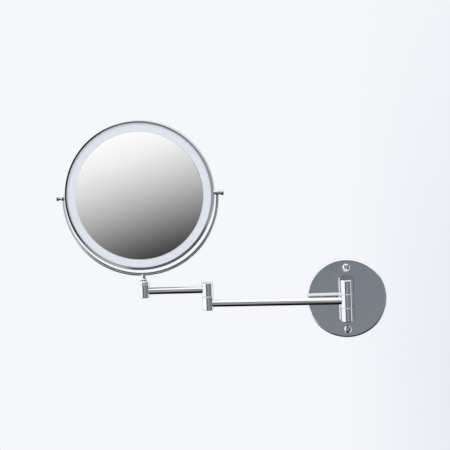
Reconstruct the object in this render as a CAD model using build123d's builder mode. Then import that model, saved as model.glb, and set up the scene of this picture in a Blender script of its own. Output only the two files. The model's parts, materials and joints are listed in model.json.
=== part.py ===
from build123d import *
from math import cos, radians, sin, tan
import os

# Extendable shaving mirror: a round wall plate with a three-knuckle hinge, a long and a short
# swing arm, a half-ring yoke and a double-sided mirror head with a ring light.
#
# Origin: centre of the plate's back face. The wall is the plane y = 0, the mirror stands out
# towards -Y, +Z is up and the arms reach towards -X. Millimetres throughout.

# ---------------------------------------------------------------- driving dimensions
# wall plate and its screws
plate_d = 107.0
plate_t = 5.0
plate_edge_r = 2.6
wall_screw_spacing = 84.0
wall_hole_d = 5.0
wall_screw_head_d = 9.4
wall_screw_neck_d = 3.6
wall_screw_thread_d = 4.5
wall_screw_length = 38.0
bracket_screw_spacing = 36.0
bracket_screw_d = 4.0
bracket_screw_head_d = 8.0
bracket_screw_length = 12.0
bracket_hole_clearance = 0.2
screw_inset = 0.25
wall_screw_inset = 0.8
wall_screw_dome = 1.3
sink_clearance = 0.05
thread_start = 1.0
thread_lead_in = 0.5
wall_screw_point = 5.0
wall_cross = (5.2, 1.3, 1.9)  # span, width and depth of the cross recess
bracket_cross = (4.2, 1.1, 1.4)
slot_width = 1.2
slot_depth = 1.2

# hinges
axis_offset = 26.0
barrel_d = 15.0
knuckle_h = 18.3
barrel_edge = 0.45
washer_t = 0.6
run_gap = 0.1
pin_d = 6.0
bore_clearance = 0.05
pin_head_d = 9.5
pin_head_t = 2.6
counterbore_d = 10.4
counterbore_depth = 3.9
blind_cap_t = 3.0
spring_washer_t = 0.5
bracket_foot_w = 21.0
bracket_foot_t = 3.0
bracket_foot_r = 2.9
bracket_end_bevel = 1.0
bracket_web_inset = 1.0
pin_chamfer = 0.3
pin_end_gap = 0.5

# arms
long_reach = 186.0
short_reach = 86.0
tube_d = 10.0
tube_wall = 1.0
plug_length = 13.0
stud_d = 5.0
stud_root = 4.2
stud_length = 12.0
stud_chamfer = 0.4

# yoke and stem
rod_d = 4.0
yoke_r = 103.9
yoke_drop = 3.3
pivot_rise = 130.0
eye_d = 8.4
eye_t = 3.2
stem_rim_h = 0.9
shoulder_r = 4.4
shoulder_h = 5.6
neck_r = 3.5
neck_taper = 0.9
neck_foot_h = 8.4
stem_screw_d = 4.0
stem_screw_grip = 12.0

# mirror head; heights are along the head's own axis, positive to the lit front
head_r = 100.0
half_depth = 12.5
band_wall = 2.0
rim_inner_r = 96.0
lip_t = 1.6
rim_flat_w = 0.9
rim_slope = 10.0  # fall of the rim's face towards its outer edge, in degrees
rim_round = 0.7
lip_inner_round = 0.7
band_back_inset = 0.9
band_back_h = 4.0
band_back_blend = 6.0
band_back_round = 0.6
glass_r = 85.8
glass_t = 2.5
glass_bevel = 0.8
glass_back_z = 9.2
diffuser_back_z = 8.0
diffuser_gap = 0.05
diffuser_round = 0.4
carrier_plate_t = 1.9
carrier_wall_t = 2.4
flange_z = 3.4
flange_t = 1.3
board_t = 0.8
board_outer_gap = 0.8
board_inner_gap = 0.6
led_count = 30
led_size = (3.5, 2.8, 1.0)
led_ring_r = 91.8
rear_glass_r = 86.0
rear_glass_t = 2.0
rear_glass_edge_z = -11.5
rear_sag = 4.6
bezel_lip_r = 84.6
bezel_front_z = -8.6
bezel_skirt_t = 1.4
bezel_web_t = 1.2
bezel_round = 0.4

# cells and their holder
cell_d = 10.4
cell_length = 43.3
cell_nub_d = 3.8
cell_nub_h = 1.2
cell_pitch = 11.6
cell_z = 0.9
holder_wall = 1.6
holder_end_gap = 0.6
holder_round = 1.5
holder_floor_share = 0.25
cell_gap = 0.1
contact_share = 0.6
contact_t = 0.4
lead_r = 0.7
lead_hole_r = 1.2
lead_out_r = 90.5
lead_out_y = 14.0
lead_bend_r = 1.2
lead_run_in = 8.0
lead_lift = 0.2

# power switch
button_d = 7.0
button_proud = 1.1
button_travel = 0.8
button_r_from_centre = 91.9
button_round = 0.9
button_clearance = 0.3
switch_gap = 0.3
switch_round = 0.4
switch_size = (8.0, 8.0, 4.4)

# head pivots, along the pivot axis
pivot_stud_d = 4.1
insert_d = 6.4
insert_length = 6.0
insert_inset = 0.06
spacer_d = 6.0
spacer_gap = 0.2
pivot_washer_d = 6.4
pivot_washer_t = 0.5
knob_d = 8.0
knob_length = 6.5
knob_collar_d = 6.6
knob_waist_d = 5.8
knob_waist_at = 1.4
knob_flare_at = 3.4
knob_round = 0.7
knob_end_t = 2.0

# rest pose: headings in degrees, measured from the line along the wall
long_heading = 2.0
short_heading = 0.0
head_heading = 3.0

# ---------------------------------------------------------------- worked-out sizes
barrel_r = barrel_d / 2
tube_r = tube_d / 2
tube_bore_r = tube_r - tube_wall
pin_r = pin_d / 2
bore_r = pin_r + bore_clearance
pitch = knuckle_h + washer_t + run_gap
knuckle_top = knuckle_h / 2
hinge_low = -pitch - knuckle_top
hinge_h = 2 * pitch + knuckle_h
seat = counterbore_depth - knuckle_top
spring_seat = seat - run_gap - spring_washer_t
band_inner_r = head_r - band_wall
lip_back_z = half_depth - lip_t
rim_fall = (head_r - rim_inner_r - rim_flat_w) * tan(radians(rim_slope))
diffuser_r = glass_r + diffuser_gap
board_z = flange_z + flange_t
sink_mouth_r = wall_screw_head_d / 2 + wall_screw_inset + sink_clearance
rod_r = rod_d / 2
ring_low = pivot_rise - yoke_drop - yoke_r
stem_foot = knuckle_top + washer_t + run_gap
eye_inner = yoke_r - eye_t / 2
eye_outer = yoke_r + eye_t / 2
rear_glass_radius = (rear_glass_r**2 + rear_sag**2) / (2 * rear_sag)


def heading(degrees, sign):
    """Horizontal unit vector, turned from sign * X towards the wall."""
    return (sign * cos(radians(degrees)), sin(radians(degrees)), 0)


def step(frame, x, y, z):
    """A point given in a frame's own axes."""
    return frame.from_local_coords(Vector(x, y, z))


# one frame for each link, so that every piece is drawn in its link's own axes
WALL = Plane(origin=(0, 0, 0), x_dir=(1, 0, 0), z_dir=(0, -1, 0))
LONG = Plane(origin=(0, -axis_offset, 0), x_dir=heading(long_heading, -1), z_dir=(0, 0, 1))
SHORT = Plane(origin=step(LONG, long_reach, 0, pitch), x_dir=heading(short_heading, -1), z_dir=(0, 0, 1))
YOKE = Plane(origin=step(SHORT, short_reach, 0, 0), x_dir=heading(head_heading, 1), z_dir=(0, 0, 1))
HEAD = Plane(
    origin=step(YOKE, 0, 0, pivot_rise),
    x_dir=heading(head_heading, 1),
    z_dir=(sin(radians(head_heading)), -cos(radians(head_heading)), 0),
)
HEAD_AXIS = Axis(HEAD.origin, HEAD.z_dir)
ALONG_X = (0, 90, 0)
SIDES = (-1, 1)

os.makedirs("parts", exist_ok=True)


def upright(frame):
    """The frame's own XZ plane: sketch x along its x axis, sketch y along its z axis."""
    return Plane(origin=frame.origin, x_dir=frame.x_dir, z_dir=-frame.y_dir)


def crosswise(frame):
    """The frame's own YZ plane: sketch x along its y axis, sketch y along its z axis."""
    return Plane(origin=frame.origin, x_dir=frame.y_dir, z_dir=frame.x_dir)


def corner(sketch, x, y):
    """The sketch's corner nearest to a point."""
    return sketch.vertices().sort_by_distance((x, y))[0]


def save(part, label):
    """Label a finished piece and write its STEP file."""
    part.label = label
    export_step(part, f"parts/{label}.step")


# ---------------------------------------------------------------- wall end
with BuildPart(WALL) as wall_plate:
    Cylinder(plate_d / 2, plate_t, align=(Align.CENTER, Align.CENTER, Align.MIN))
    front_edge = wall_plate.edges().filter_by(GeomType.CIRCLE).sort_by(Axis.Y)[0]
    fillet(front_edge, plate_edge_r)
    with Locations(*[(0, side * wall_screw_spacing / 2, plate_t) for side in SIDES]):
        CounterSinkHole(wall_hole_d / 2, sink_mouth_r, plate_t, counter_sink_angle=90)
    with Locations(*[(0, side * bracket_screw_spacing / 2, 0) for side in SIDES]):
        Cylinder(bracket_screw_d / 2 + bracket_hole_clearance, 3 * plate_t, mode=Mode.SUBTRACT)
        Cone(
            bracket_screw_head_d / 2,
            bracket_screw_d / 2,
            (bracket_screw_head_d - bracket_screw_d) / 2,
            align=(Align.CENTER, Align.CENTER, Align.MIN),
            mode=Mode.SUBTRACT,
        )
save(wall_plate.part, "wall_plate")


def cross_recess(y, z, cross):
    """Cuts a cross recess into a screw head whose face is at height z of the wall frame."""
    span, width, depth = cross
    with Locations((0, y, z)):
        Box(span, width, 2 * depth, mode=Mode.SUBTRACT)
        Box(width, span, 2 * depth, mode=Mode.SUBTRACT)


# raised countersunk heads, sunk a little into their seats so that the crowns just stand proud
wall_head_t = (wall_screw_head_d - wall_screw_neck_d) / 2
wall_head_y = wall_screw_inset - plate_t
wall_screw_tip = wall_screw_length - plate_t
with BuildPart(WALL) as wall_screws:
    for side in SIDES:
        y = side * wall_screw_spacing / 2
        with BuildSketch(Plane(origin=step(WALL, 0, y, 0), x_dir=(1, 0, 0), z_dir=(0, 0, 1))):
            with BuildLine():
                crown = TangentArc(
                    (0, wall_head_y - wall_screw_dome),
                    (wall_screw_head_d / 2, wall_head_y),
                    tangent=(1, 0),
                )
                Polyline(
                    crown @ 1,
                    (wall_screw_neck_d / 2, wall_head_y + wall_head_t),
                    (wall_screw_neck_d / 2, thread_start),
                    (wall_screw_thread_d / 2, thread_start + thread_lead_in),
                    (wall_screw_thread_d / 2, wall_screw_tip - wall_screw_point),
                    (0, wall_screw_tip),
                    crown @ 0,
                )
            make_face()
        revolve(axis=Axis((0, 0, y), (0, 1, 0)))
        cross_recess(y, wall_screw_dome - wall_head_y, wall_cross)
save(wall_screws.part, "wall_screws")

with BuildPart() as hinge_bracket:
    with BuildSketch(Plane.XY.offset(hinge_low)):
        with Locations((0, -plate_t - bracket_foot_t / 2)):
            Rectangle(bracket_foot_w, bracket_foot_t)
    extrude(amount=hinge_h)
    foot_edges = hinge_bracket.edges().filter_by(Axis.Z).group_by(Axis.Y)[0]
    fillet(foot_edges, bracket_foot_r)
    for level in (-pitch, pitch):
        with BuildSketch(Plane.XY.offset(level - knuckle_top)):
            with Locations((0, -axis_offset)):
                Circle(barrel_r)
            with BuildLine():
                Polyline(
                    (bracket_web_inset - bracket_foot_w / 2, -plate_t - bracket_web_inset),
                    (bracket_foot_w / 2 - bracket_web_inset, -plate_t - bracket_web_inset),
                    (barrel_r, -axis_offset),
                    (-barrel_r, -axis_offset),
                    close=True,
                )
            make_face()
        extrude(amount=knuckle_h)
    outlines = hinge_bracket.edges().group_by(Axis.Z)
    front_of_foot = -plate_t - bracket_foot_t - bracket_web_inset
    for outline in (outlines[0], outlines[-1]):
        chamfer([edge for edge in outline if edge.center().Y < front_of_foot], bracket_end_bevel)
    with Locations((0, -axis_offset, hinge_low)):
        Cylinder(
            pin_r,
            hinge_h - blind_cap_t,
            align=(Align.CENTER, Align.CENTER, Align.MIN),
            mode=Mode.SUBTRACT,
        )
        Cylinder(
            counterbore_d / 2,
            counterbore_depth,
            align=(Align.CENTER, Align.CENTER, Align.MIN),
            mode=Mode.SUBTRACT,
        )
    for side in SIDES:
        mouth = step(WALL, 0, side * bracket_screw_spacing / 2, plate_t)
        with BuildSketch(Plane(origin=mouth, z_dir=WALL.z_dir)):
            Circle(bracket_screw_d / 2)
        extrude(amount=bracket_screw_length - plate_t + pin_end_gap, mode=Mode.SUBTRACT)
save(hinge_bracket.part, "hinge_bracket")

with BuildPart(WALL) as bracket_screws:
    with Locations(*[(0, side * bracket_screw_spacing / 2, screw_inset) for side in SIDES]):
        Cone(
            bracket_screw_head_d / 2 - screw_inset,
            bracket_screw_d / 2,
            (bracket_screw_head_d - bracket_screw_d) / 2 - screw_inset,
            align=(Align.CENTER, Align.CENTER, Align.MIN),
        )
        Cylinder(
            bracket_screw_d / 2,
            bracket_screw_length,
            align=(Align.CENTER, Align.CENTER, Align.MIN),
        )
    for side in SIDES:
        cross_recess(side * bracket_screw_spacing / 2, screw_inset, bracket_cross)
save(bracket_screws.part, "bracket_screws")


def slotted_pin(frame, x, head_z, parts):
    """A stepped pin standing on its slotted head: parts are (radius, length) from the head up."""
    with BuildPart(frame) as pin:
        level = head_z
        for radius, length in parts:
            with Locations((x, 0, level)):
                Cylinder(radius, length, align=(Align.CENTER, Align.CENTER, Align.MIN))
            level += length
        with Locations((x, 0, head_z)):
            Box(2 * pin_head_d, slot_width, 2 * slot_depth, mode=Mode.SUBTRACT)
        foot = pin.edges().filter_by(GeomType.CIRCLE).group_by(Axis.Z)[0]
        chamfer(foot, pin_chamfer)
    return pin.part


def washer(frame, x, z, outer_r, inner_r, thickness):
    """A flat ring lying at height z of a frame."""
    with BuildPart(frame) as ring:
        with Locations((x, 0, z)):
            Cylinder(outer_r, thickness, align=(Align.CENTER, Align.CENTER, Align.MIN))
            Cylinder(
                inner_r,
                thickness,
                align=(Align.CENTER, Align.CENTER, Align.MIN),
                mode=Mode.SUBTRACT,
            )
    return ring.part


head_parts = (pin_head_d / 2, pin_head_t)
wall_pin_length = hinge_h - counterbore_depth - blind_cap_t - pin_end_gap
wall_pin = slotted_pin(
    LONG, 0, hinge_low + counterbore_depth - pin_head_t, [head_parts, (pin_r, wall_pin_length)]
)
save(wall_pin, "wall_hinge_pin")

# the lower washer lies on the bracket, the upper one on the arm's knuckle
save(washer(LONG, 0, -knuckle_top - run_gap - washer_t, barrel_r, pin_r, washer_t), "lower_hinge_washer")
save(washer(LONG, 0, knuckle_top, barrel_r, bore_r, washer_t), "upper_hinge_washer")


# ---------------------------------------------------------------- arms
def knuckle(frame, x, arm_side, counterbored=False, blind=False):
    """A hinge barrel with a pin bore and, towards its arm, a tapped hole for the stud."""
    with BuildPart(frame) as body:
        with Locations((x, 0, 0)):
            Cylinder(barrel_r, knuckle_h)
        chamfer(body.edges().filter_by(GeomType.CIRCLE), barrel_edge)
        hole_r = stud_d / 2 if blind else bore_r
        depth = knuckle_h - blind_cap_t if blind else knuckle_h
        with Locations((x, 0, -knuckle_top)):
            Cylinder(
                hole_r, depth, align=(Align.CENTER, Align.CENTER, Align.MIN), mode=Mode.SUBTRACT
            )
            if counterbored:
                Cylinder(
                    counterbore_d / 2,
                    counterbore_depth,
                    align=(Align.CENTER, Align.CENTER, Align.MIN),
                    mode=Mode.SUBTRACT,
                )
        with Locations((x + arm_side * (stud_root + barrel_r / 2), 0, 0)):
            Cylinder(stud_d / 2, barrel_r, rotation=ALONG_X, mode=Mode.SUBTRACT)
    return body.part


def arm_tube(frame, reach):
    """A hollow rod between two hinge barrels, its ends coped to fit them."""
    with BuildPart(frame) as tube:
        with Locations((reach / 2, 0, 0)):
            Cylinder(tube_r, reach, rotation=ALONG_X)
            Cylinder(tube_bore_r, reach, rotation=ALONG_X, mode=Mode.SUBTRACT)
        with Locations((0, 0, 0), (reach, 0, 0)):
            Cylinder(barrel_r, knuckle_h, mode=Mode.SUBTRACT)
    return tube.part


def arm_plugs(frame, reach):
    """The tapped inserts that close a tube's two ends."""
    inner_end = barrel_r + plug_length
    with BuildPart(frame) as plugs:
        with Locations((inner_end / 2, 0, 0), (reach - inner_end / 2, 0, 0)):
            Cylinder(tube_bore_r, inner_end, rotation=ALONG_X)
        with Locations((0, 0, 0), (reach, 0, 0)):
            Cylinder(barrel_r, knuckle_h, mode=Mode.SUBTRACT)
            Cylinder(stud_d / 2, 2 * (stud_root + stud_length), rotation=ALONG_X, mode=Mode.SUBTRACT)
    return plugs.part


def arm_studs(frame, reach):
    """The threaded studs that join a tube's plugs to its two knuckles."""
    middle = stud_root + stud_length / 2
    with BuildPart(frame) as studs:
        with Locations((middle, 0, 0), (reach - middle, 0, 0)):
            Cylinder(stud_d / 2, stud_length, rotation=ALONG_X)
        ends = studs.edges().filter_by(GeomType.CIRCLE)
        chamfer(ends, stud_chamfer)
    return studs.part


save(knuckle(LONG, 0, 1), "long_arm_wall_knuckle")
save(knuckle(LONG, long_reach, -1, counterbored=True), "long_arm_elbow_knuckle")
save(knuckle(SHORT, 0, 1, blind=True), "short_arm_elbow_knuckle")
save(knuckle(SHORT, short_reach, -1, counterbored=True), "short_arm_end_knuckle")
for name, frame, reach in (("long_arm", LONG, long_reach), ("short_arm", SHORT, short_reach)):
    save(arm_tube(frame, reach), f"{name}_tube")
    save(arm_plugs(frame, reach), f"{name}_plugs")
    save(arm_studs(frame, reach), f"{name}_studs")

# elbow: the shoulder screw is tapped into the upper knuckle and turns in the lower one
save(washer(LONG, long_reach, knuckle_top, barrel_r, bore_r, washer_t), "elbow_washer")
shoulder_length = pitch - knuckle_top - spring_seat
elbow_screw = slotted_pin(
    SHORT,
    0,
    spring_seat - pin_head_t - pitch,
    [head_parts, (pin_r, shoulder_length), (stud_d / 2, knuckle_h - blind_cap_t - 2 * pin_end_gap)],
)
save(elbow_screw, "elbow_screw")
save(
    washer(SHORT, 0, spring_seat - pitch, pin_head_d / 2, pin_r, spring_washer_t),
    "elbow_spring_washer",
)

# ---------------------------------------------------------------- yoke
stem_screw_r = stem_screw_d / 2
spindle_low = spring_seat + spring_washer_t
with BuildPart(YOKE) as yoke_stem:
    with BuildSketch(upright(YOKE)):
        with BuildLine():
            foot = Line((0, stem_foot), (barrel_r, stem_foot))
            rise = Line(foot @ 1, (barrel_r, stem_foot + stem_rim_h))
            crown = TangentArc(rise @ 1, (shoulder_r, stem_foot + shoulder_h), tangent=(0, 1))
            flare = TangentArc((neck_r, stem_foot + neck_foot_h), crown @ 1, tangent=(0, -1))
            neck = Line(flare @ 0, (neck_r - neck_taper, ring_low))
            top = Line(neck @ 1, (0, ring_low))
            Line(top @ 1, foot @ 0)
        make_face()
    revolve(axis=Axis(YOKE.origin, (0, 0, 1)))
    with Locations((0, 0, spindle_low)):
        Cylinder(pin_r, stem_foot - spindle_low, align=(Align.CENTER, Align.CENTER, Align.MIN))
        Cylinder(
            stem_screw_r,
            stem_screw_grip,
            align=(Align.CENTER, Align.CENTER, Align.MIN),
            mode=Mode.SUBTRACT,
        )
    # the ring lies brazed in a saddle across the neck
    with BuildSketch(crosswise(YOKE)):
        with Locations((0, ring_low)):
            Circle(rod_r)
    extrude(amount=barrel_r, both=True, mode=Mode.SUBTRACT)
save(yoke_stem.part, "yoke_stem")

save(washer(YOKE, 0, knuckle_top, barrel_r, bore_r, washer_t), "stem_washer")
save(
    washer(YOKE, 0, spring_seat, pin_head_d / 2, stem_screw_r, spring_washer_t),
    "stem_spring_washer",
)
stem_screw = slotted_pin(
    YOKE, 0, spring_seat - pin_head_t, [head_parts, (stem_screw_r, stem_screw_grip)]
)
save(stem_screw, "stem_screw")

with BuildPart(YOKE) as yoke_ring:
    with BuildLine(upright(YOKE)) as bend:
        CenterArc((0, pivot_rise - yoke_drop), yoke_r, 0, -180)
    with BuildSketch(Plane(origin=bend.line @ 0, z_dir=bend.line % 0)):
        Circle(rod_r)
    sweep()
    for side in SIDES:
        with Locations((side * yoke_r, 0, pivot_rise)):
            Cylinder(eye_d / 2, eye_t, rotation=ALONG_X)
    with Locations((0, 0, pivot_rise)):
        Cylinder(
            pivot_stud_d / 2 + bore_clearance, 3 * yoke_r, rotation=ALONG_X, mode=Mode.SUBTRACT
        )
save(yoke_ring.part, "yoke_ring")

# ---------------------------------------------------------------- mirror head
with BuildPart() as head_band:
    with BuildSketch(upright(HEAD)) as section:
        with BuildLine():
            Polyline(
                (band_inner_r, -half_depth),
                (head_r - band_back_inset, -half_depth),
                (head_r, band_back_h - half_depth),
                (head_r, half_depth - rim_fall),
                (rim_inner_r + rim_flat_w, half_depth),
                (rim_inner_r, half_depth),
                (rim_inner_r, lip_back_z),
                (band_inner_r, lip_back_z),
                close=True,
            )
        make_face()
        fillet(corner(section, head_r, half_depth - rim_fall), rim_round)
        fillet(corner(section, rim_inner_r, half_depth), lip_inner_round)
        fillet(corner(section, head_r, band_back_h - half_depth), band_back_blend)
        fillet(corner(section, head_r - band_back_inset, -half_depth), band_back_round)
    revolve(axis=HEAD_AXIS)
    with BuildSketch(crosswise(HEAD)):
        Circle(pivot_stud_d / 2)
    extrude(amount=head_r + 1, both=True, mode=Mode.SUBTRACT)
save(head_band.part, "head_band")

with BuildPart() as light_ring:
    with BuildSketch(upright(HEAD)) as section:
        with BuildLine():
            Polyline(
                (diffuser_r, diffuser_back_z),
                (band_inner_r, diffuser_back_z),
                (band_inner_r, lip_back_z),
                (diffuser_r, lip_back_z),
                close=True,
            )
        make_face()
        fillet(corner(section, diffuser_r, lip_back_z), diffuser_round)
    revolve(axis=HEAD_AXIS)
save(light_ring.part, "light_ring")

with BuildPart() as front_mirror:
    with BuildSketch(upright(HEAD)) as section:
        with BuildLine():
            Polyline(
                (0, glass_back_z),
                (glass_r, glass_back_z),
                (glass_r, glass_back_z + glass_t),
                (0, glass_back_z + glass_t),
                close=True,
            )
        make_face()
        chamfer(corner(section, glass_r, glass_back_z + glass_t), glass_bevel)
    revolve(axis=HEAD_AXIS)
save(front_mirror.part, "front_mirror")

wall_inner_r = glass_r - carrier_wall_t
with BuildPart(HEAD) as carrier:
    with BuildSketch(upright(HEAD)):
        with BuildLine():
            Polyline(
                (0, glass_back_z - carrier_plate_t),
                (wall_inner_r, glass_back_z - carrier_plate_t),
                (wall_inner_r, flange_z),
                (band_inner_r, flange_z),
                (band_inner_r, flange_z + flange_t),
                (glass_r, flange_z + flange_t),
                (glass_r, glass_back_z),
                (0, glass_back_z),
                close=True,
            )
        make_face()
    revolve(axis=HEAD_AXIS)
    for side in SIDES:
        with Locations((side * lead_out_r, lead_out_y, flange_z)):
            Cylinder(lead_hole_r, 3 * flange_t, mode=Mode.SUBTRACT)
save(carrier.part, "mirror_carrier")

with BuildPart(HEAD) as led_board:
    with Locations((0, 0, board_z)):
        Cylinder(band_inner_r - board_outer_gap, board_t, align=(Align.CENTER, Align.CENTER, Align.MIN))
        Cylinder(
            glass_r + board_inner_gap,
            board_t,
            align=(Align.CENTER, Align.CENTER, Align.MIN),
            mode=Mode.SUBTRACT,
        )
save(led_board.part, "led_board")

with BuildPart(HEAD) as leds:
    with Locations((0, 0, board_z + board_t)):
        with PolarLocations(led_ring_r, led_count, start_angle=180 / led_count):
            Box(*led_size[1::-1], led_size[2], align=(Align.CENTER, Align.CENTER, Align.MIN))
save(leds.part, "leds")

# rear side: a dished magnifying glass under the lip of a press-in bezel
with BuildPart() as rear_mirror:
    with BuildSketch(upright(HEAD)):
        with BuildLine():
            edge_z = rear_glass_edge_z
            dish_z = edge_z + rear_sag
            outer_face = RadiusArc((0, dish_z), (rear_glass_r, edge_z), rear_glass_radius)
            edge = Line(outer_face @ 1, (rear_glass_r, edge_z + rear_glass_t))
            inner_face = RadiusArc(
                edge @ 1, (0, dish_z + rear_glass_t), -rear_glass_radius
            )
            Line(inner_face @ 1, outer_face @ 0)
        make_face()
    revolve(axis=HEAD_AXIS)
save(rear_mirror.part, "rear_mirror")

with BuildPart(HEAD) as rear_bezel:
    with BuildSketch(upright(HEAD)) as section:
        with BuildLine():
            Polyline(
                (bezel_lip_r, -half_depth),
                (band_inner_r, -half_depth),
                (band_inner_r, bezel_front_z),
                (band_inner_r - bezel_skirt_t, bezel_front_z),
                (band_inner_r - bezel_skirt_t, bezel_web_t - half_depth),
                (rear_glass_r + bezel_skirt_t, bezel_web_t - half_depth),
                (rear_glass_r + bezel_skirt_t, bezel_front_z),
                (rear_glass_r, bezel_front_z),
                (rear_glass_r, rear_glass_edge_z),
                (bezel_lip_r, rear_glass_edge_z),
                close=True,
            )
        make_face()
        fillet(corner(section, bezel_lip_r, -half_depth), bezel_round)
        fillet(corner(section, band_inner_r, -half_depth), bezel_round)
    revolve(axis=HEAD_AXIS)
    with Locations((0, -button_r_from_centre, -half_depth)):
        Cylinder(button_d / 2 + button_clearance, 4 * bezel_web_t, mode=Mode.SUBTRACT)
save(rear_bezel.part, "rear_bezel")

with BuildPart(HEAD) as switch_body:
    with Locations((0, -button_r_from_centre, flange_z)):
        Box(*switch_size, align=(Align.CENTER, Align.CENTER, Align.MAX))
    fillet(switch_body.edges().filter_by(HEAD_AXIS), switch_round)
save(switch_body.part, "switch_body")

button_top_z = flange_z - switch_size[2] - switch_gap - button_travel
with BuildPart(HEAD) as power_button:
    with Locations((0, -button_r_from_centre, -half_depth - button_proud)):
        Cylinder(
            button_d / 2,
            button_top_z + half_depth + button_proud,
            align=(Align.CENTER, Align.CENTER, Align.MIN),
        )
    fillet(power_button.edges().sort_by(Axis(HEAD.origin, HEAD.z_dir))[0], button_round)
save(power_button.part, "power_button")

# three cells lie side by side across the middle of the head, in a tray under the carrier plate
holder_span = cell_length + cell_nub_h + 2 * contact_t + holder_end_gap
holder_roof_z = glass_back_z - carrier_plate_t
holder_floor_z = cell_z - holder_floor_share * cell_d
with BuildPart(HEAD) as battery_holder:
    with Locations((0, 0, holder_roof_z)):
        Box(
            holder_span + 2 * holder_wall,
            3 * cell_pitch + 2 * holder_wall,
            holder_roof_z - holder_floor_z,
            align=(Align.CENTER, Align.CENTER, Align.MAX),
        )
    tray_edges = battery_holder.edges().filter_by(HEAD_AXIS)
    fillet(tray_edges, holder_round)
    with Locations((0, 0, cell_z)):
        with GridLocations(0, cell_pitch, 1, 3):
            Cylinder(cell_d / 2 + cell_gap, holder_span, rotation=ALONG_X, mode=Mode.SUBTRACT)
save(battery_holder.part, "battery_holder")

with BuildPart(HEAD) as cells:
    for row in (-1, 0, 1):
        way = 1 if row == 0 else -1
        with Locations((-way * cell_nub_h / 2, row * cell_pitch, cell_z)):
            Cylinder(cell_d / 2, cell_length, rotation=ALONG_X)
        with Locations((way * cell_length / 2, row * cell_pitch, cell_z)):
            Cylinder(cell_nub_d / 2, cell_nub_h, rotation=ALONG_X)
save(cells.part, "cells")

with BuildPart(HEAD) as contacts:
    with Locations((0, 0, cell_z)):
        with GridLocations(holder_span - contact_t, cell_pitch, 2, 3):
            Box(contact_t, contact_share * cell_d, contact_share * cell_d)
save(contacts.part, "battery_contacts")

# two leads run from the tray along the back of the flange and up to the board
with BuildPart() as leads:
    for side in SIDES:
        route = [
            step(HEAD, side * (holder_span / 2 + holder_wall), lead_out_y, cell_z),
            step(HEAD, side * (lead_out_r - lead_run_in), lead_out_y, cell_z),
            step(HEAD, side * lead_out_r, lead_out_y, cell_z + lead_lift),
            step(HEAD, side * lead_out_r, lead_out_y, board_z),
        ]
        with BuildLine() as run:
            FilletPolyline(*route, radius=lead_bend_r)
        with BuildSketch(Plane(origin=run.line @ 0, z_dir=run.line % 0)):
            Circle(lead_r)
        sweep(path=run.line)
save(leads.part, "battery_leads")

# ---------------------------------------------------------------- head pivots
with BuildPart(HEAD) as pivot_inserts:
    for side in SIDES:
        with Locations((side * (band_inner_r - insert_inset - insert_length / 2), 0, 0)):
            Cylinder(insert_d / 2, insert_length, rotation=ALONG_X)
            Cylinder(pivot_stud_d / 2, insert_length, rotation=ALONG_X, mode=Mode.SUBTRACT)
save(pivot_inserts.part, "pivot_inserts")

knob_foot = eye_outer + run_gap + pivot_washer_t
stud_inner = band_inner_r - insert_length
stud_outer = knob_foot + knob_length - knob_end_t
with BuildPart(HEAD) as pivot_studs:
    for side in SIDES:
        with Locations((side * (stud_inner + stud_outer) / 2, 0, 0)):
            Cylinder(pivot_stud_d / 2, stud_outer - stud_inner, rotation=ALONG_X)
save(pivot_studs.part, "pivot_studs")

with BuildPart(HEAD) as pivot_spacers:
    for side in SIDES:
        with Locations((side * (head_r + eye_inner - spacer_gap) / 2, 0, 0)):
            Cylinder(spacer_d / 2, eye_inner - spacer_gap - head_r, rotation=ALONG_X)
            Cylinder(pivot_stud_d / 2, spacer_d, rotation=ALONG_X, mode=Mode.SUBTRACT)
save(pivot_spacers.part, "pivot_spacers")

with BuildPart(HEAD) as pivot_washers:
    for side in SIDES:
        with Locations((side * (knob_foot - pivot_washer_t / 2), 0, 0)):
            Cylinder(pivot_washer_d / 2, pivot_washer_t, rotation=ALONG_X)
            Cylinder(pivot_stud_d / 2, pivot_washer_t, rotation=ALONG_X, mode=Mode.SUBTRACT)
save(pivot_washers.part, "pivot_washers")

with BuildPart() as pivot_knobs:
    for side in SIDES:
        with BuildSketch(upright(HEAD)) as section:
            with BuildLine():
                foot = side * knob_foot
                end = side * (knob_foot + knob_length)
                Polyline(
                    (foot, 0),
                    (foot, knob_collar_d / 2),
                    (foot + side * knob_waist_at, knob_waist_d / 2),
                    (foot + side * knob_flare_at, knob_d / 2),
                    (end, knob_d / 2),
                    (end, 0),
                    close=True,
                )
            make_face()
            fillet(corner(section, foot + side * knob_waist_at, knob_waist_d / 2), knob_round)
            fillet(corner(section, foot + side * knob_flare_at, knob_d / 2), knob_round)
            fillet(corner(section, end, knob_d / 2), knob_round)
        revolve(axis=Axis(HEAD.origin, HEAD.x_dir))
        blind_hole = Plane(origin=step(HEAD, side * knob_foot, 0, 0), z_dir=side * HEAD.x_dir)
        with BuildSketch(blind_hole):
            Circle(pivot_stud_d / 2)
        extrude(amount=stud_outer - knob_foot, mode=Mode.SUBTRACT)
save(pivot_knobs.part, "pivot_knobs")
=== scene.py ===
"""Studio scene of an extendable wall mirror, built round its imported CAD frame.

Metres throughout. X runs along the wall, the wall is the plane y = 0 and
the object stands out from it towards -Y, and Z is up.
"""

import json
import math

import bmesh
import bpy
from mathutils import Matrix, Vector


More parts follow.
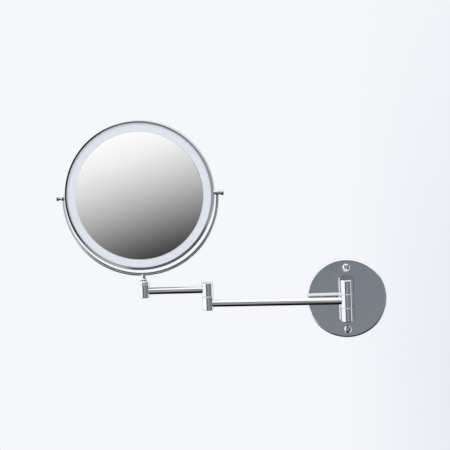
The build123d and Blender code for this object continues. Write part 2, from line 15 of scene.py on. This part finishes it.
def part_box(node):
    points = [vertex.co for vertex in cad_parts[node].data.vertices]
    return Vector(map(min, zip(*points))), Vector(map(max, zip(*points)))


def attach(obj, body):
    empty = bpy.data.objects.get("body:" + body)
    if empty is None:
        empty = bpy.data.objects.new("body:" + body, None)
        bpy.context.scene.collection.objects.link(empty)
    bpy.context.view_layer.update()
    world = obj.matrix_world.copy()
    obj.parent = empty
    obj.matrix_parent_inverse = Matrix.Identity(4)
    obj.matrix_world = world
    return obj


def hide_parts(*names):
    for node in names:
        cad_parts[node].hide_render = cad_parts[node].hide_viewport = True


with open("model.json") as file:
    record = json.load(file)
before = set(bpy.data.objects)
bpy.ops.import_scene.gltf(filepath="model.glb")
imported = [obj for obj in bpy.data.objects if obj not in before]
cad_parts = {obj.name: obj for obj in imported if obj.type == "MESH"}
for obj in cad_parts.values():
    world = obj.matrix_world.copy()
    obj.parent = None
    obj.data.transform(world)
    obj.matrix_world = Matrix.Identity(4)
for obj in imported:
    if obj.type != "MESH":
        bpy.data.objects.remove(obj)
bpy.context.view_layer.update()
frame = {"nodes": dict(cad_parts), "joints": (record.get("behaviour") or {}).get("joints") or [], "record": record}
NODES = frame["nodes"]

MM = 0.001


# ---- node trees ----------------------------------------------------------


class Tree:
    """A thin layer over a node tree: each call adds one node and returns its output."""

    def __init__(self, tree):
        self.tree = tree
        tree.nodes.clear()

    def add(self, kind, inputs=(), output=0, **settings):
        """Adds a node. inputs maps a socket's name or index to a value or another output."""
        node = self.tree.nodes.new(kind)
        for key, value in settings.items():
            setattr(node, key, value)
        for key, value in dict(inputs).items():
            if isinstance(value, bpy.types.NodeSocket):
                self.tree.links.new(value, node.inputs[key])
            elif value is not None:
                node.inputs[key].default_value = value
        return node.outputs[output] if node.outputs else node

    def math(self, operation, *values):
        return self.add("ShaderNodeMath", dict(enumerate(values)), operation=operation)

    def ramp(self, value, stops, mode="EASE"):
        """A colour ramp. stops are (position, linear red, green, blue)."""
        node = self.tree.nodes.new("ShaderNodeValToRGB")
        node.color_ramp.interpolation = mode
        self.tree.links.new(value, node.inputs[0])
        elements = node.color_ramp.elements
        while len(elements) < len(stops):
            elements.new(0.5)
        for element, (position, *colour) in zip(elements, stops):
            element.position = position
            element.color = (*colour, 1.0)
        return node.outputs["Color"]

    def rise(self, value, low, high, to_min=0.0, to_max=1.0):
        """Goes smoothly from to_min at low to to_max at high."""
        return self.add(
            "ShaderNodeMapRange",
            {0: value, 1: low, 2: high, 3: to_min, 4: to_max},
            interpolation_type="SMOOTHSTEP",
        )

    def window(self, value, opens, full, fades, closed):
        """One between full and fades, and zero below opens and above closed."""
        return self.math(
            "MULTIPLY", self.rise(value, opens, full), self.rise(value, fades, closed, 1.0, 0.0)
        )

    def mix(self, factor, first, second):
        return self.add(
            "ShaderNodeMix",
            {0: factor, 6: first, 7: second},
            output=2,
            data_type="RGBA",
        )

    def noise(self, scale, detail=3.0, roughness=0.5, vector=None):
        return self.add(
            "ShaderNodeTexNoise",
            {"Vector": vector, "Scale": scale, "Detail": detail, "Roughness": roughness},
        )


# ---- the studio ----------------------------------------------------------

BLACK = (0.0, 0.0, 0.0, 1.0)
BACKDROP = (0.921, 0.930, 0.965, 1.0)  # the pale ground behind the object
BACKDROP_SHADE = (0.815, 0.838, 0.896, 1.0)  # its shaded lower right corner
STUDIO_GAIN = 1.3

# Light reflected by the chrome: (elevation in degrees, linear red, green, blue).
FRONT = (
    (-90, 0.0, 0.0, 0.0),
    (-56, 0.0, 0.0, 0.002),
    (-46, 0.07, 0.068, 0.066),
    (-36, 0.24, 0.23, 0.22),
    (-25, 0.43, 0.41, 0.39),
    (-15, 0.21, 0.225, 0.24),
    (-7, 0.185, 0.205, 0.224),
    (6, 0.18, 0.19, 0.20),
    (22, 0.12, 0.125, 0.13),
    (32, 0.92, 0.92, 0.93),
    (44, 1.0, 1.0, 1.0),
)
SIDE = (
    (-90, 0.0, 0.0, 0.0),
    (-46, 0.0, 0.0, 0.0),
    (-31, 0.9, 0.9, 0.92),
    (90, 1.0, 1.0, 1.0),
)
BACK = (
    (-90, 0.0, 0.0, 0.0),
    (-52, 0.02, 0.02, 0.024),
    (-38, 0.20, 0.205, 0.22),
    (-21, 0.32, 0.325, 0.34),
    (-7, 0.24, 0.25, 0.265),
    (3, 0.52, 0.525, 0.54),
    (30, 0.70, 0.705, 0.72),
    (62, 1.0, 1.0, 1.0),
)

# How the dim room in front varies round the compass: (azimuth in degrees, factor).
ROOM = (
    (-30, 0.06),
    (-17, 0.10),
    (-9, 0.95),
    (6, 1.0),
    (22, 1.5),
    (40, 0.8),
    (68, 0.95),
    (92, 0.6),
)

# Windows in degrees: opens, full, fades, closed.
EYE_LEVEL = (-24.0, -14.0, 14.0, 30.0)  # elevations at which the room varies at all
ROOM_SPAN = (-29.0, -26.0, 96.0, 106.0)  # azimuths of the room, between two white walls
DARK_AZIMUTH = (-11.0, -6.0, 45.0, 65.0)  # something dark that stands low, mostly on the right
DARK_ELEVATION = (-40.0, -32.0, -17.0, -13.0)
DARK_STRENGTH = 0.75
BEHIND = (132.0, 152.0)  # from here round, either way, the light is that of BACK

# The panel that the flat mirror sees, with a soft and slanted lower edge.
PANEL_ELEVATION = (-7.6, -7.35, -0.5, 2.5)
PANEL_AZIMUTH = (-12.0, -7.0, 1.0, 6.0)
PANEL_EDGE_ELEVATION = -4.63
PANEL_EDGE_AZIMUTH = -3.12
PANEL_EDGE_SLOPE = 0.30
PANEL_EDGE = (-3.34, 3.46)
PANEL_TONES = (0.82, 0.02)

# The backdrop's shade, by the X, Z and Y of the view direction.
SHADE_ACROSS = (-0.03, 0.07)
SHADE_DOWN = (0.08, -0.22)
SHADE_DOWN_TONES = (0.25, 1.0)
SHADE_AHEAD = (0.9, 0.97)


def studio_world():
    """Light by direction alone: white left, right and above, a dim room in front."""
    world = bpy.data.worlds.new("studio")
    bpy.context.scene.world = world
    world.use_nodes = True
    t = Tree(world.node_tree)
    direction = t.add("ShaderNodeTexCoord", output="Generated")
    split = t.tree.nodes.new("ShaderNodeSeparateXYZ")
    t.tree.links.new(direction, split.inputs[0])
    x, y, z = split.outputs
    azimuth = t.math("DEGREES", t.math("ARCTAN2", x, t.math("MULTIPLY", y, -1.0)))
    elevation = t.math("DEGREES", t.math("ARCSINE", z))
    height = t.add("ShaderNodeMapRange", {0: elevation, 1: -90.0, 2: 90.0, 3: 0.0, 4: 1.0})
    turn = t.add("ShaderNodeMapRange", {0: azimuth, 1: -180.0, 2: 180.0, 3: 0.0, 4: 1.0})

    def by_elevation(stops):
        return t.ramp(height, [((e + 90) / 180, *c) for e, *c in stops], "LINEAR")

    front, side, back = by_elevation(FRONT), by_elevation(SIDE), by_elevation(BACK)
    # A ramp holds no factor over one, so the room's factors are halved in it and doubled after it.
    room = t.ramp(turn, [((a + 180) / 360, f / 2, f / 2, f / 2) for a, f in ROOM], "LINEAR")
    room = t.math("MULTIPLY", room, 2.0)
    level = t.window(elevation, *EYE_LEVEL)
    room = t.add("ShaderNodeMix", {0: level, 2: 1.0, 3: room}, data_type="FLOAT")
    front = t.add("ShaderNodeVectorMath", {0: front, "Scale": room}, operation="SCALE")

    dark = t.math(
        "MULTIPLY", t.window(azimuth, *DARK_AZIMUTH), t.window(elevation, *DARK_ELEVATION)
    )
    front = t.mix(t.math("MULTIPLY", dark, DARK_STRENGTH), front, BLACK)
    light = t.mix(t.rise(t.math("ABSOLUTE", azimuth), *BEHIND), side, back)
    light = t.mix(t.window(azimuth, *ROOM_SPAN), light, front)

    below = t.math("MULTIPLY", t.math("ADD", elevation, -PANEL_EDGE_ELEVATION), -1.0)
    along = t.math(
        "MULTIPLY", t.math("ADD", azimuth, -PANEL_EDGE_AZIMUTH), PANEL_EDGE_SLOPE
    )
    panel = t.rise(t.math("ADD", below, along), *PANEL_EDGE, *PANEL_TONES)
    panel_colour = t.add("ShaderNodeCombineColor", {0: panel, 1: panel, 2: panel})
    patch = t.math(
        "MULTIPLY", t.window(elevation, *PANEL_ELEVATION), t.window(azimuth, *PANEL_AZIMUTH)
    )
    light = t.mix(patch, light, panel_colour)

    studio = t.add("ShaderNodeBackground", {0: light, 1: STUDIO_GAIN})
    shade = t.math(
        "MULTIPLY",
        t.rise(x, *SHADE_ACROSS),
        t.math(
            "MULTIPLY", t.rise(z, *SHADE_DOWN, *SHADE_DOWN_TONES), t.rise(y, *SHADE_AHEAD)
        ),
    )
    ground = t.add("ShaderNodeBackground", {0: t.mix(shade, BACKDROP, BACKDROP_SHADE), 1: 1.0})
    to_camera = t.add("ShaderNodeLightPath", output="Is Camera Ray")
    surface = t.add("ShaderNodeMixShader", {0: to_camera, 1: studio, 2: ground})
    t.add("ShaderNodeOutputWorld", {0: surface})


FLOOR_LEVEL = -1.25
FLOOR_RADIUS = 3.2
FLOOR_SIDES = 96

LIGHT_TARGET = (-0.15, 0.0, 0.05)
# Each light's place, width and power.
LIGHTS = {
    "key": ((-1.6, -1.6, 1.7), 1.2, 22.0),
    "fill": ((1.5, -1.2, 0.9), 1.0, 8.0),
}


def plain_floor():
    """A pale round floor far below the object."""
    mesh = bpy.data.meshes.new("studio_floor")
    bm = bmesh.new()
    bmesh.ops.create_circle(bm, cap_ends=True, segments=FLOOR_SIDES, radius=FLOOR_RADIUS)
    bmesh.ops.translate(bm, verts=bm.verts, vec=(0, 0, FLOOR_LEVEL))
    bm.to_mesh(mesh)
    bm.free()
    floor = bpy.data.objects.new("studio_floor", mesh)
    bpy.context.scene.collection.objects.link(floor)
    floor.visible_glossy = False
    material = bpy.data.materials.new("pale_floor")
    material.use_nodes = True
    t = Tree(material.node_tree)
    where = t.add("ShaderNodeTexCoord", output="Object")
    tone = t.ramp(
        t.noise(3.0, 2.0, vector=where), [(0.3, 0.70, 0.71, 0.74), (0.7, 0.72, 0.73, 0.76)]
    )
    shader = t.add("ShaderNodeBsdfPrincipled", {"Base Color": tone, "Roughness": 0.9})
    t.add("ShaderNodeOutputMaterial", {0: shader})
    mesh.materials.append(material)


def soft_light(name, place, width, power):
    """A square light that shows neither in the chrome nor to the camera."""
    data = bpy.data.lights.new(name, "AREA")
    data.shape = "SQUARE"
    data.size = width
    data.energy = power
    light = bpy.data.objects.new(name, data)
    bpy.context.scene.collection.objects.link(light)
    light.location = place
    aim = Vector(LIGHT_TARGET) - Vector(place)
    light.rotation_mode = "QUATERNION"
    light.rotation_quaternion = aim.to_track_quat("-Z", "Y")
    light.visible_glossy = False
    light.visible_camera = False


# ---- the camera ----------------------------------------------------------

CAMERA_PLACE = (0.0253, -1.87074, 0.30089)
CAMERA_LENS = 112.0
CAMERA_SENSOR = 36.0
# In degrees: below the horizon, towards +X from +Y, and anticlockwise about the view.
CAMERA_DOWN = 6.003
CAMERA_TURN = -5.68
CAMERA_ROLL = -2.275


def studio_camera():
    """A long lens in front of the object, a little above it and slightly rolled."""
    data = bpy.data.cameras.new("camera")
    data.lens = CAMERA_LENS
    data.sensor_width = CAMERA_SENSOR
    camera = bpy.data.objects.new("camera", data)
    bpy.context.scene.collection.objects.link(camera)
    down, turn, roll = map(math.radians, (CAMERA_DOWN, CAMERA_TURN, CAMERA_ROLL))
    ahead = Vector(
        (math.sin(turn) * math.cos(down), math.cos(turn) * math.cos(down), -math.sin(down))
    )
    level = Vector((math.cos(turn), -math.sin(turn), 0.0))
    above = level.cross(ahead)
    right = math.cos(roll) * level + math.sin(roll) * above
    up = math.cos(roll) * above - math.sin(roll) * level
    axes = Matrix((right, up, -ahead)).transposed()
    camera.matrix_world = Matrix.Translation(CAMERA_PLACE) @ axes.to_4x4()
    bpy.context.scene.camera = camera


# ---- materials -----------------------------------------------------------


PLATE_DEPTH = 0.000004  # relief of orange peel and of drawn marks, in metres
GRAIN_DEPTH = 0.00001  # relief of moulded plastic
DRAWN_OUT = (60.0, 60.0, 900.0)  # how a metal's marks are stretched


def finish_material(tree, values, height=None, depth=0.0):
    """Puts a Principled shader on tree, with a bump of depth metres from height."""
    if height is not None:
        values["Normal"] = tree.add(
            "ShaderNodeBump", {"Height": height, "Distance": depth, "Strength": 1.0}
        )
    shader = tree.add("ShaderNodeBsdfPrincipled", values)
    tree.add("ShaderNodeOutputMaterial", {0: shader})


def new_material(name):
    """An empty material, its tree, and the object's own coordinates in metres."""
    material = bpy.data.materials.new(name)
    material.use_nodes = True
    tree = Tree(material.node_tree)
    where = tree.add("ShaderNodeTexCoord", output="Object")
    return material, tree, where


def chrome():
    """Bright plate over a polished base: faint orange peel, wipe marks and dust."""
    material, t, where = new_material("chrome")
    wipe = t.noise(38.0, 4.0, 0.6, where)
    dust = t.noise(1900.0, 2.0, 0.5, where)
    rough = t.math(
        "ADD",
        t.rise(wipe, 0.42, 0.78, 0.028, 0.075),
        t.rise(dust, 0.66, 0.8, 0.0, 0.05),
    )
    tone = t.ramp(wipe, [(0.25, 0.80, 0.81, 0.83), (0.75, 0.77, 0.785, 0.81)])
    peel = t.noise(260.0, 2.0, 0.5, where)
    values = {"Base Color": tone, "Metallic": 1.0, "Roughness": rough}
    finish_material(t, values, peel, PLATE_DEPTH)
    return material


def mirror_glass():
    """Silvered glass: clean in the middle, with a trace of haze and a few specks."""
    material, t, where = new_material("mirror_glass")
    haze = t.noise(22.0, 3.0, 0.55, where)
    specks = t.noise(2600.0, 1.0, 0.5, where)
    rough = t.math(
        "ADD",
        t.rise(haze, 0.5, 0.85, 0.004, 0.02),
        t.rise(specks, 0.74, 0.82, 0.0, 0.12),
    )
    tone = t.ramp(haze, [(0.3, 0.95, 0.952, 0.95), (0.7, 0.935, 0.938, 0.936)])
    finish_material(t, {"Base Color": tone, "Metallic": 1.0, "Roughness": rough})
    return material


def moulding(name, light, dark, roughness, grain=900.0):
    """Moulded plastic with a fine spark-eroded grain and a slow change of tone."""
    material, t, where = new_material(name)
    slow = t.noise(30.0, 3.0, 0.5, where)
    fine = t.noise(grain, 3.0, 0.6, where)
    tone = t.ramp(slow, [(0.3, *dark), (0.7, *light)])
    rough = t.rise(fine, 0.3, 0.7, roughness - 0.06, roughness + 0.08)
    finish_material(t, {"Base Color": tone, "Roughness": rough}, fine, GRAIN_DEPTH)
    return material


def bare_metal(name, light, dark, roughness):
    """Turned or rolled metal, with its fine marks drawn out along one axis."""
    material, t, where = new_material(name)
    drawn = t.add("ShaderNodeMapping", {"Vector": where, "Scale": DRAWN_OUT})
    marks = t.noise(6.0, 3.0, 0.6, drawn)
    slow = t.noise(45.0, 3.0, 0.5, where)
    tone = t.ramp(slow, [(0.3, *dark), (0.7, *light)])
    rough = t.rise(marks, 0.3, 0.7, roughness - 0.05, roughness + 0.09)
    values = {"Base Color": tone, "Metallic": 1.0, "Roughness": rough}
    finish_material(t, values, marks, PLATE_DEPTH)
    return material


def frosted_diffuser():
    """Satin acrylic, cool white, with a faint glow of the light behind it."""
    material, t, where = new_material("frosted_diffuser")
    satin = t.noise(1500.0, 2.0, 0.5, where)
    slow = t.noise(18.0, 2.0, 0.5, where)
    tone = t.ramp(slow, [(0.3, 0.35, 0.365, 0.39), (0.7, 0.37, 0.385, 0.41)])
    rough = t.rise(satin, 0.3, 0.7, 0.50, 0.58)
    finish_material(
        t,
        {
            "Base Color": tone,
            "Roughness": rough,
            "Emission Color": (0.84, 0.89, 1.0, 1.0),
            "Emission Strength": 0.44,
            "Specular IOR Level": 0.2,
        },
    )
    return material


SLOTS = {
    "chrome": chrome(),
    "mirror_glass": mirror_glass(),
    "frosted_diffuser": frosted_diffuser(),
    "white_moulding": moulding("white_moulding", (0.80, 0.80, 0.79), (0.74, 0.74, 0.73), 0.42),
    "board": moulding("board", (0.70, 0.72, 0.70), (0.62, 0.65, 0.63), 0.5, 1400.0),
    "led_package": moulding("led_package", (0.85, 0.80, 0.45), (0.80, 0.72, 0.35), 0.3),
    "cell_sleeve": moulding("cell_sleeve", (0.05, 0.10, 0.07), (0.03, 0.07, 0.05), 0.3),
    "nickel_contact": bare_metal("nickel_contact", (0.72, 0.70, 0.66), (0.62, 0.60, 0.56), 0.25),
    "zinc_steel": bare_metal("zinc_steel", (0.66, 0.67, 0.69), (0.55, 0.56, 0.58), 0.24),
    "nylon": moulding("nylon", (0.82, 0.81, 0.78), (0.76, 0.75, 0.71), 0.45),
    "lead_sheath": moulding("lead_sheath", (0.45, 0.03, 0.03), (0.35, 0.02, 0.02), 0.45),
    "switch_moulding": moulding("switch_moulding", (0.03, 0.03, 0.032), (0.02, 0.02, 0.02), 0.45),
}


def dress_cad_nodes():
    """Gives each CAD node the finish of the slot it was packed with."""
    packed = {m["slot"] for m in frame["record"]["materials"]}
    for node in NODES.values():
        for slot in node.material_slots:
            name = slot.material.name.split(".")[0]
            if name not in packed:
                raise SystemExit(f"{node.name} has the unknown finish {name}")
            slot.material = SLOTS[name]


# ---- detailed pieces -----------------------------------------------------


SAME_POINT = 1e-7  # metres
SHARP_ANGLE = 32.0  # degrees


def new_piece(name, bm, slot, body, *replaced):
    """Links a bmesh as a smooth piece that rides on body and stands for CAD nodes."""
    bmesh.ops.remove_doubles(bm, verts=bm.verts, dist=SAME_POINT)
    bmesh.ops.recalc_face_normals(bm, faces=bm.faces)
    mesh = bpy.data.meshes.new(name)
    bm.to_mesh(mesh)
    bm.free()
    mesh.shade_smooth()
    mesh.set_sharp_from_angle(angle=math.radians(SHARP_ANGLE))
    mesh.materials.append(SLOTS[slot])
    piece = bpy.data.objects.new(name, mesh)
    bpy.context.scene.collection.objects.link(piece)
    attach(piece, body)
    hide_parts(*replaced)


def skin(bm, ring, other):
    """Joins two closed rings of vertices. A ring on the axis is one vertex over and over."""
    if ring[0] is ring[1] and other[0] is other[1]:
        return
    for index in range(len(ring)):
        after = (index + 1) % len(ring)
        corners = [ring[index], ring[after], other[after], other[index]]
        bm.faces.new(list(dict.fromkeys(corners)))


SCREW_HEAD_R = 4.7 * MM
SCREW_NECK_R = 1.8 * MM
SCREW_CROWN = 1.3 * MM
SCREW_HEAD_H = SCREW_CROWN + SCREW_HEAD_R - SCREW_NECK_R  # crown and right-angled cone
SCREW_PLAIN = 3.2 * MM  # of bare neck before the thread
SCREW_THREAD_R = 2.25 * MM
SCREW_THREAD_DEPTH = 0.62 * MM
SCREW_THREAD_PITCH = 1.9 * MM
SCREW_CREST = 0.26  # half of the thread's width, in pitches
SCREW_POINT = 5.0 * MM
CROSS_HALF_SPAN = 2.5 * MM
CROSS_HALF_WIDTH = 0.62 * MM
CROSS_DEPTH = 1.9 * MM
CROSS_STEEPNESS = 2.2  # of the recess's floor, which rises to the ends of its slots
SCREW_SIDES = 64
CROWN_STEPS, CONE_STEPS, SHANK_STEPS = 26, 5, 120


def shank_radius(depth, turn, length):
    """Radius of the shank at a depth under the crown's top, with its helical thread."""
    thread_top = SCREW_HEAD_H + SCREW_PLAIN
    if depth < thread_top:
        return SCREW_NECK_R
    taper = min(1.0, (length - depth) / SCREW_POINT)
    lead_in = min(1.0, (depth - thread_top) / SCREW_THREAD_PITCH)
    phase = (depth / SCREW_THREAD_PITCH - turn / (2 * math.pi)) % 1.0
    crest = max(0.0, 1.0 - abs(phase - 0.5) / SCREW_CREST)
    root = SCREW_THREAD_R - SCREW_THREAD_DEPTH
    return taper * (root + lead_in * crest * SCREW_THREAD_DEPTH)


def cross_recess(x, y):
    """Depth of the cross recess at a place on the crown."""
    narrow, wide = sorted((abs(x), abs(y)))
    floor = 1.0 - wide / CROSS_HALF_SPAN
    if narrow > CROSS_HALF_WIDTH or floor <= 0.0:
        return 0.0
    return CROSS_DEPTH * min(1.0, CROSS_STEEPNESS * floor)


def wall_screw(bm, z, crown_y, tip_y):
    """A raised countersunk wood screw, pointing to +Y, with a cross recess."""
    length = tip_y - crown_y
    crown_curve = (SCREW_HEAD_R**2 + SCREW_CROWN**2) / (2 * SCREW_CROWN)

    # Each gives the radius and the depth under the crown's top at one turn of a ring.
    def on_crown(radius, turn):
        fall = crown_curve - math.sqrt(crown_curve**2 - radius**2)
        return radius, fall + cross_recess(radius * math.cos(turn), radius * math.sin(turn))

    def on_cone(radius, turn):
        return radius, SCREW_CROWN + SCREW_HEAD_R - radius

    def on_shank(depth, turn):
        return shank_radius(depth, turn, length), depth

    cone = SCREW_NECK_R - SCREW_HEAD_R
    shank = length - SCREW_HEAD_H
    stations = [(on_crown, SCREW_HEAD_R * n / CROWN_STEPS) for n in range(1, CROWN_STEPS + 1)]
    stations += [
        (on_cone, SCREW_HEAD_R + cone * n / CONE_STEPS) for n in range(1, CONE_STEPS + 1)
    ]
    stations += [(on_shank, SCREW_HEAD_H + shank * n / SHANK_STEPS) for n in range(1, SHANK_STEPS)]

    previous = [bm.verts.new((0.0, crown_y + CROSS_DEPTH, z))] * SCREW_SIDES
    for shape, value in stations:
        ring = []
        for side in range(SCREW_SIDES):
            turn = 2 * math.pi * side / SCREW_SIDES
            radius, depth = shape(value, turn)
            x, up = radius * math.cos(turn), radius * math.sin(turn)
            ring.append(bm.verts.new((x, crown_y + depth, z + up)))
        skin(bm, previous, ring)
        previous = ring
    skin(bm, previous, [bm.verts.new((0.0, tip_y, z))] * SCREW_SIDES)


def wall_screw_pair():
    """Both wall screws, placed in the box of the CAD ones."""
    low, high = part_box("wall_screws")
    bm = bmesh.new()
    for z in (low[2] + SCREW_HEAD_R, high[2] - SCREW_HEAD_R):
        wall_screw(bm, z, low[1], high[1])
    new_piece("threaded_wall_screws", bm, "chrome", "wall", "wall_screws")


JOINTS = {joint["name"]: joint for joint in frame["joints"]}
HEAD_CENTRE = Vector(JOINTS["head_tilt"]["pos_m"])
TILT_AXIS = Vector(JOINTS["head_tilt"]["axis"])
UP = Vector((0.0, 0.0, 1.0))
FACE_AXIS = TILT_AXIS.cross(UP)
LATHE_STEPS = 360
CORNER_STEPS = 8
SHADING_MARGIN = 0.04  # mm
ON_AXIS = 1e-6  # a smaller radius, in mm, is a point on the axis


def rounded(corners):
    """A closed outline in millimetres from (x, y, radius) corners, rounded where radius > 0."""
    outline = []
    for index, (x, y, radius) in enumerate(corners):
        here = Vector((x, y))
        if not radius:
            outline.append(here)
            continue
        back = (Vector(corners[index - 1][:2]) - here).normalized()
        ahead = (Vector(corners[(index + 1) % len(corners)][:2]) - here).normalized()
        half = back.angle(ahead) / 2
        cut = radius / math.tan(half)
        centre = here + (back + ahead).normalized() * radius / math.sin(half)
        first = here + back * cut - centre
        last = here + ahead * cut - centre
        turn = first.angle_signed(last)
        # A point just outside each end of the arc keeps the flats beside it flat when shaded.
        outline.append(here + back * (cut + SHADING_MARGIN))
        for step in range(CORNER_STEPS + 1):
            swing = Matrix.Rotation(-turn * step / CORNER_STEPS, 2)
            outline.append(centre + swing @ first)
        outline.append(here + ahead * (cut + SHADING_MARGIN))
    return outline


def lathe(bm, outline, centre, axis, steps=LATHE_STEPS):
    """Turns a closed outline of (radius, height) points round a level axis through centre."""
    across = axis.cross(UP).normalized()
    side = across.cross(axis).normalized()
    rings = []
    for radius, height in outline:
        foot = centre + axis * height * MM
        if radius < ON_AXIS:
            rings.append([bm.verts.new(foot)] * steps)
            continue
        ring = []
        for step in range(steps):
            turn = 2 * math.pi * step / steps
            way = side * math.cos(turn) + across * math.sin(turn)
            ring.append(bm.verts.new(foot + way * radius * MM))
        rings.append(ring)
    for index, ring in enumerate(rings):
        skin(bm, ring, rings[(index + 1) % len(rings)])


def head_turning(name, slot, outline, node):
    """A piece of the head, turned round the axis that its front faces along."""
    bm = bmesh.new()
    lathe(bm, outline, HEAD_CENTRE, FACE_AXIS)
    new_piece(name, bm, slot, "head", node)


# The head's sizes in millimetres: radii, and heights above its middle.
BAND_R, BAND_INNER_R, BAND_INNER_ROUND = 100.0, 98.0, 0.25
BACK_INSET, BACK_ROUND, BACK_H, BACK_BLEND = 0.9, 0.6, 4.0, 6.0
HALF_DEPTH = 12.5
RIM_INNER_R, RIM_INNER_ROUND, LIP = 96.0, 0.3, 1.6
RIM_FLAT, RIM_FLAT_ROUND, RIM_FALL, RIM_ROUND = 0.9, 0.5, 0.547, 0.7
GLASS_R, GLASS_BACK, GLASS_BACK_ROUND = 85.8, 9.2, 0.15
GLASS_FACE, GLASS_FACE_ROUND = 11.7, 0.5
RING_INNER_R, RING_BACK, RING_ROUND = 85.85, 8.0, 0.4
REAR_R, REAR_EDGE, REAR_SAG, REAR_T = 86.0, -11.5, 4.6, 2.0
REAR_STEPS = 28


def head_turnings():
    """The chrome band, the frosted ring and both glasses, turned finely."""
    lip_back = HALF_DEPTH - LIP
    band = [
        (BAND_INNER_R, -HALF_DEPTH, BAND_INNER_ROUND),
        (BAND_R - BACK_INSET, -HALF_DEPTH, BACK_ROUND),
        (BAND_R, BACK_H - HALF_DEPTH, BACK_BLEND),
        (BAND_R, HALF_DEPTH - RIM_FALL, RIM_ROUND),
        (RIM_INNER_R + RIM_FLAT, HALF_DEPTH, RIM_FLAT_ROUND),
        (RIM_INNER_R, HALF_DEPTH, RIM_INNER_ROUND),
        (RIM_INNER_R, lip_back, 0.0),
        (BAND_INNER_R, lip_back, 0.0),
    ]
    ring = [
        (RING_INNER_R, RING_BACK, 0.0),
        (BAND_INNER_R, RING_BACK, 0.0),
        (BAND_INNER_R, lip_back, 0.0),
        (RING_INNER_R, lip_back, RING_ROUND),
    ]
    glass = [
        (0.0, GLASS_BACK, 0.0),
        (GLASS_R, GLASS_BACK, GLASS_BACK_ROUND),
        (GLASS_R, GLASS_FACE, GLASS_FACE_ROUND),
        (0.0, GLASS_FACE, 0.0),
    ]
    head_turning("turned_head_band", "chrome", rounded(band), "head_band")
    head_turning("frosted_light_ring", "frosted_diffuser", rounded(ring), "light_ring")
    head_turning("front_glass", "mirror_glass", rounded(glass), "front_mirror")
    head_turning("dished_rear_glass", "mirror_glass", dish(), "rear_mirror")


def dish():
    """The outline of the magnifying glass behind, hollow towards whoever looks into it."""
    curve_r = (REAR_R**2 + REAR_SAG**2) / (2 * REAR_SAG)
    radii = [REAR_R * step / REAR_STEPS for step in range(REAR_STEPS + 1)]
    hollow = [
        Vector((r, REAR_EDGE + REAR_SAG - curve_r + math.sqrt(curve_r**2 - r**2))) for r in radii
    ]
    return hollow + [point + Vector((0.0, REAR_T)) for point in reversed(hollow)]


# The yoke's sizes in millimetres.
YOKE_R, YOKE_DROP, ROD_R = 103.9, 3.3, 2.0
EYE_R, EYE_BORE_R, EYE_HALF_T, EYE_EDGE = 4.2, 2.1, 1.6, 0.35
YOKE_STEPS, ROD_SIDES, EYE_SIDES = 220, 40, 64


def yoke_hoop():
    """The half ring of bright rod, with a turned eye on each end."""
    bm = bmesh.new()
    middle = HEAD_CENTRE - UP * YOKE_DROP * MM
    rings = []
    for step in range(YOKE_STEPS + 1):
        turn = math.pi * (1 + step / YOKE_STEPS)
        outward = TILT_AXIS * math.cos(turn) + UP * math.sin(turn)
        place = middle + outward * YOKE_R * MM
        ring = []
        for side in range(ROD_SIDES):
            lean = 2 * math.pi * side / ROD_SIDES
            way = outward * math.cos(lean) + FACE_AXIS * math.sin(lean)
            ring.append(bm.verts.new(place + way * ROD_R * MM))
        rings.append(ring)
    for ring, following in zip(rings, rings[1:]):
        skin(bm, ring, following)
    bm.faces.new(rings[0])
    bm.faces.new(rings[-1])
    eye = [
        (EYE_BORE_R, -EYE_HALF_T, 0.0),
        (EYE_R, -EYE_HALF_T, EYE_EDGE),
        (EYE_R, EYE_HALF_T, EYE_EDGE),
        (EYE_BORE_R, EYE_HALF_T, 0.0),
    ]
    for end in (-1.0, 1.0):
        place = HEAD_CENTRE + TILT_AXIS * end * YOKE_R * MM
        lathe(bm, rounded(eye), place, TILT_AXIS, EYE_SIDES)
    new_piece("yoke_hoop", bm, "chrome", "yoke", "yoke_ring")


# ---- the scene -----------------------------------------------------------

bpy.context.scene.view_settings.view_transform = "Standard"
studio_world()
plain_floor()
studio_camera()
for light_name, light_settings in LIGHTS.items():
    soft_light(light_name, *light_settings)
dress_cad_nodes()
wall_screw_pair()
head_turnings()
yoke_hoop()
